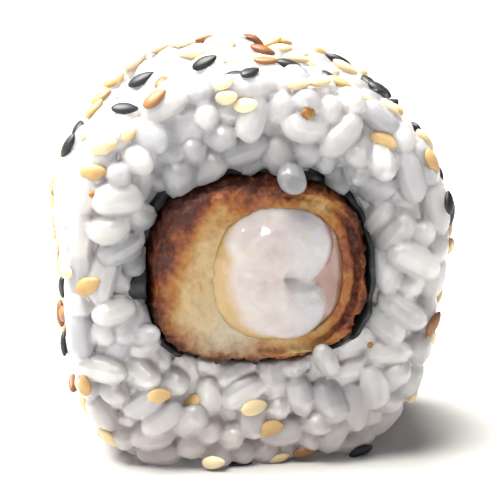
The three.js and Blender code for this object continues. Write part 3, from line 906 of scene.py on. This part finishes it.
def fried_batter():
    """Wheat batter, fried in oil until it frothed and set: dark crumbs outside, pale dough beside the squid.

    Light goes in less than a millimetre, which warms the dough. It is smoother than the crumbs, whose oil
    gives them a dull shine. The froth's smallest holes are too fine to show, so they are coarser here.
    """
    material = new_material("fried_wheat_batter")
    where = add(material, "ShaderNodeTexCoord").outputs["Object"]
    pale = add(material, "ShaderNodeAttribute", attribute_name="pale").outputs["Fac"]
    broad = add(material, "ShaderNodeTexNoise", {"Vector": where, "Scale": 1 / (2.4 * MM), "Detail": 2.0})
    crumbs = add(material, "ShaderNodeTexNoise", {"Vector": where, "Scale": 1 / (0.7 * MM), "Detail": 4.0})
    uneven = add(material, "ShaderNodeMath", {
        0: broad.outputs["Fac"], 1: 0.75, 2: -0.375,
    }, operation="MULTIPLY_ADD")
    mottled = add(material, "ShaderNodeMath", {
        0: crumbs.outputs["Fac"], 1: 0.6, 2: -0.3,
    }, operation="MULTIPLY_ADD")
    both = add(material, "ShaderNodeMath", {0: uneven.outputs[0], 1: mottled.outputs[0]}, operation="ADD")
    mixed = add(material, "ShaderNodeMath", {0: pale, 1: both.outputs[0]}, operation="ADD")
    fried = add(material, "ShaderNodeValToRGB", {"Fac": mixed.outputs[0]}, stops=[
        (0.0, "481d12"), (0.1, "67301b"), (0.22, "814524"),
        (0.38, "975e2b"), (0.58, "a67c42"), (1.0, "bca47b"),
    ])
    greyed = add(material, "ShaderNodeValToRGB", {"Fac": mixed.outputs[0]}, stops=[
        (0.0, "3f2014"), (0.1, "5f3a26"), (0.22, "826044"),
        (0.36, "9b8468"), (0.6, "aa9c84"), (0.9, "b8ab96"),
    ])
    drab = add(material, "ShaderNodeAttribute", attribute_name="drab").outputs["Fac"]
    tint = add(material, "ShaderNodeMix", {
        "Factor": drab, "A": fried.outputs["Color"], "B": greyed.outputs["Color"],
    }, data_type="RGBA")
    fine = add(material, "ShaderNodeTexNoise", {"Vector": where, "Scale": 1 / (0.45 * MM), "Detail": 5.0})
    smoother = add(material, "ShaderNodeMapRange", {
        "Value": pale, "From Max": 0.8, "To Min": 0.8, "To Max": 0.3,
    })
    bump = add(material, "ShaderNodeBump", {
        "Height": fine.outputs["Fac"], "Strength": smoother.outputs["Result"], "Distance": 0.35 * MM,
    })
    shader = add(material, "ShaderNodeBsdfPrincipled", {
        "Base Color": tint.outputs["Result"],
        "Subsurface Weight": 0.5,
        "Subsurface Radius": (1.0, 0.6, 0.35),
        "Subsurface Scale": 0.7 * MM,
        "Roughness": 0.55,
        "Specular IOR Level": 0.35,
        "Coat Weight": 0.06,
        "Coat Roughness": 0.2,
        "Normal": bump.outputs["Normal"],
    })
    return finish_material(material, shader)


def cooked_squid():
    """Squid, boiled and cut across by a wet knife: firm milky flesh, its edge stained by the frying batter.

    Light goes two millimetres into it, so it glows and has no hard shadows, and its wet face shines.
    Its fibres are too fine to show, so the unevenness that they leave in the cut is coarser here.
    """
    material = new_material("cooked_squid_flesh")
    where = add(material, "ShaderNodeTexCoord").outputs["Object"]
    soaked = add(material, "ShaderNodeAttribute", attribute_name="soaked").outputs["Fac"]
    broad = add(material, "ShaderNodeTexNoise", {"Vector": where, "Scale": 1 / (3.0 * MM), "Detail": 4.0})
    tint = add(material, "ShaderNodeValToRGB", {"Fac": broad.outputs["Fac"]}, stops=[
        (0.3, "b5a9aa"), (0.5, "beb5b4"), (0.7, "c7c0be"),
    ])
    patchy = add(material, "ShaderNodeMath", {0: soaked, 1: broad.outputs["Fac"]}, operation="ADD")
    stain = add(material, "ShaderNodeValToRGB", {"Fac": patchy.outputs[0]}, stops=[
        (0.6, "000000"), (1.35, "ffffff"),
    ])
    flesh = tint.outputs["Color"]
    for name, code in (("under", "a8857c"), ("cool", "bab9c0")):  # the rosy layer, and the bluish lobes
        share = add(material, "ShaderNodeAttribute", attribute_name=name).outputs["Fac"]
        flesh = add(material, "ShaderNodeMix", {
            "Factor": share, "A": flesh, "B": colour(code),
        }, data_type="RGBA").outputs["Result"]
    stained = add(material, "ShaderNodeMix", {
        "Factor": stain.outputs["Color"], "A": flesh, "B": colour("b4945c"),
    }, data_type="RGBA")
    fine = add(material, "ShaderNodeTexNoise", {"Vector": where, "Scale": 1 / (1.3 * MM), "Detail": 2.0})
    bump = add(material, "ShaderNodeBump", {
        "Height": fine.outputs["Fac"], "Strength": 0.3, "Distance": 0.5 * MM,
    })
    shader = add(material, "ShaderNodeBsdfPrincipled", {
        "Base Color": stained.outputs["Result"],
        "Subsurface Weight": 1.0,
        "Subsurface Radius": (1.0, 0.75, 0.65),
        "Subsurface Scale": 2.2 * MM,
        "Roughness": 0.32,
        "Coat Weight": 0.8,
        "Coat Roughness": 0.1,
        "Normal": bump.outputs["Normal"],
    })
    return finish_material(material, shader)


def pressed_seaweed():
    """Laver, dried into a pressed sheet, toasted, and wet again from the rice: near black and faintly green.

    The pressed fronds leave it uneven, which gives it a broken, leathery sheen. They are coarser here than
    in a real sheet, where they are too fine to show.
    """
    material = new_material("pressed_laver_seaweed")
    where = add(material, "ShaderNodeTexCoord").outputs["Object"]
    blotches = add(material, "ShaderNodeTexNoise", {"Vector": where, "Scale": 1 / (2.0 * MM), "Detail": 4.0})
    tint = add(material, "ShaderNodeValToRGB", {"Fac": blotches.outputs["Fac"]}, stops=[
        (0.35, "101415"), (0.65, "202527"),
    ])
    bump = add(material, "ShaderNodeBump", {
        "Height": blotches.outputs["Fac"], "Strength": 0.6, "Distance": 0.3 * MM,
    })
    shader = add(material, "ShaderNodeBsdfPrincipled", {
        "Base Color": tint.outputs["Color"],
        "Roughness": 0.55,
        "Normal": bump.outputs["Normal"],
    })
    return finish_material(material, shader)


def sesame(name, dark, light, roughness):
    """The skin of a sesame seed, dried and toasted: thin and satin, so each seed has one broad soft shine.

    The skin's mottling is too fine to show, so it is coarser here.
    """
    material = new_material(name)
    where = add(material, "ShaderNodeTexCoord").outputs["Object"]
    tone = add(material, "ShaderNodeAttribute", attribute_name="tone").outputs["Fac"]
    mottle = add(material, "ShaderNodeTexNoise", {"Vector": where, "Scale": 1 / (1.4 * MM), "Detail": 3.0})
    mixed = add(material, "ShaderNodeMath", {0: mottle.outputs["Fac"], 1: tone}, operation="ADD")
    half = add(material, "ShaderNodeMath", {0: mixed.outputs[0], 1: 0.5}, operation="MULTIPLY")
    tint = add(material, "ShaderNodeValToRGB", {"Fac": half.outputs[0]}, stops=[(0.2, dark), (0.8, light)])
    bump = add(material, "ShaderNodeBump", {
        "Height": mottle.outputs["Fac"], "Strength": 0.3, "Distance": 0.1 * MM,
    })
    shader = add(material, "ShaderNodeBsdfPrincipled", {
        "Base Color": tint.outputs["Color"],
        "Subsurface Weight": 0.15,
        "Subsurface Radius": (1.0, 0.7, 0.4),
        "Subsurface Scale": 0.5 * MM,
        "Roughness": roughness,
        "Normal": bump.outputs["Normal"],
    })
    return finish_material(material, shader)


# ------------------------------------------------------------------ the slice

rng = np.random.default_rng(5)


def dress(piece, material, slot, *nodes):
    """Keeps a piece inside the CAD model's box, gives it its material, and hides the nodes that it replaces.
    Its slot is not used.
    """
    place(piece, np.clip(places_of(piece), *np.array([tuple(corner) for corner in cad_box]) / MM))
    piece.data.materials.clear()
    piece.data.materials.append(material)
    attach(piece, "root")
    if nodes:
        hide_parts(*nodes)


rice = make_rice(rng)
steamed = steamed_rice()
dress(rice, steamed, "rice", "rice")
seaweed = make_seaweed()
dress(seaweed, pressed_seaweed(), "seaweed", "seaweed")
batter = make_batter()
fried = fried_batter()
dress(batter, fried, "batter", "batter")
squid = make_squid()
dress(squid, cooked_squid(), "squid", "squid")
rice_tree = skin_tree(rice)
dress(make_crumbs(rice_tree), fried, "batter")
seeds = make_seeds(rng, rice_tree)
dress(seeds["pale"], sesame("hulled_sesame_seed", "d0b588", "ecdcb8", 0.5), "pale_sesame", "rice")
dress(seeds["golden"], sesame("toasted_sesame_seed", "b18a55", "dcbf8c", 0.45), "golden_sesame", "rice")
dress(seeds["brown"], sesame("dark_toasted_sesame_seed", "74482d", "ac7a4c", 0.5), "golden_sesame", "rice")
dress(seeds["black"], sesame("black_sesame_seed", "101116", "262830", 0.48), "black_sesame", "rice")

# ------------------------------------------------------------------ the studio

bpy.ops.mesh.primitive_plane_add(size=4, location=(0, 0, 0))
floor = newest("floor")
white = new_material("matt_studio_paper")  # it renders white, with a soft shadow and no reflection
card = add(white, "ShaderNodeBsdfPrincipled", {"Base Color": colour("c2c2c2"), "Roughness": 0.9})
floor.data.materials.append(finish_material(white, card))

world = bpy.data.worlds.new("studio")
bpy.context.scene.world = world
world.use_nodes = True
surroundings = world.node_tree.nodes["Background"].inputs
surroundings["Color"].default_value = colour("eaf0fa")
surroundings["Strength"].default_value = 0.14

LIGHTS = {  # place in metres, size, watts and colour
    "overhead_softbox": ((-0.26, 0.12, 0.78), 0.75, 40.0, "fffcf4"),
    "window_in_front": ((-0.12, -0.42, 0.17), 0.06, 0.2, "ffffff"),
}
for name, (spot, size, watts, tint) in LIGHTS.items():
    turned = (Vector(spot) - Vector((0, 0, RICE.z * MM))).to_track_quat("Z", "Y").to_euler()
    bpy.ops.object.light_add(type="AREA", location=spot, rotation=turned)
    light = newest(name)
    light.data.size, light.data.energy, light.data.color = size, watts, colour(tint)[:3]

LOOKED_AT = 22.5  # the height on the slice's axis that the picture's middle shows, in millimetres
LENS, NEAREST = 185, 0.01  # the lens in millimetres, and the nearest place that it shows, in metres

bpy.ops.object.camera_add()
camera = newest("camera")
back = Vector(BACK)
camera.location = Vector((0, 0, LOOKED_AT * MM)) + back * PHOTO_DISTANCE * MM
camera.rotation_euler = back.to_track_quat("Z", "Y").to_euler()
camera.data.lens, camera.data.clip_start = LENS, NEAREST
bpy.context.scene.camera = camera
bpy.context.scene.view_settings.view_transform = "Standard"
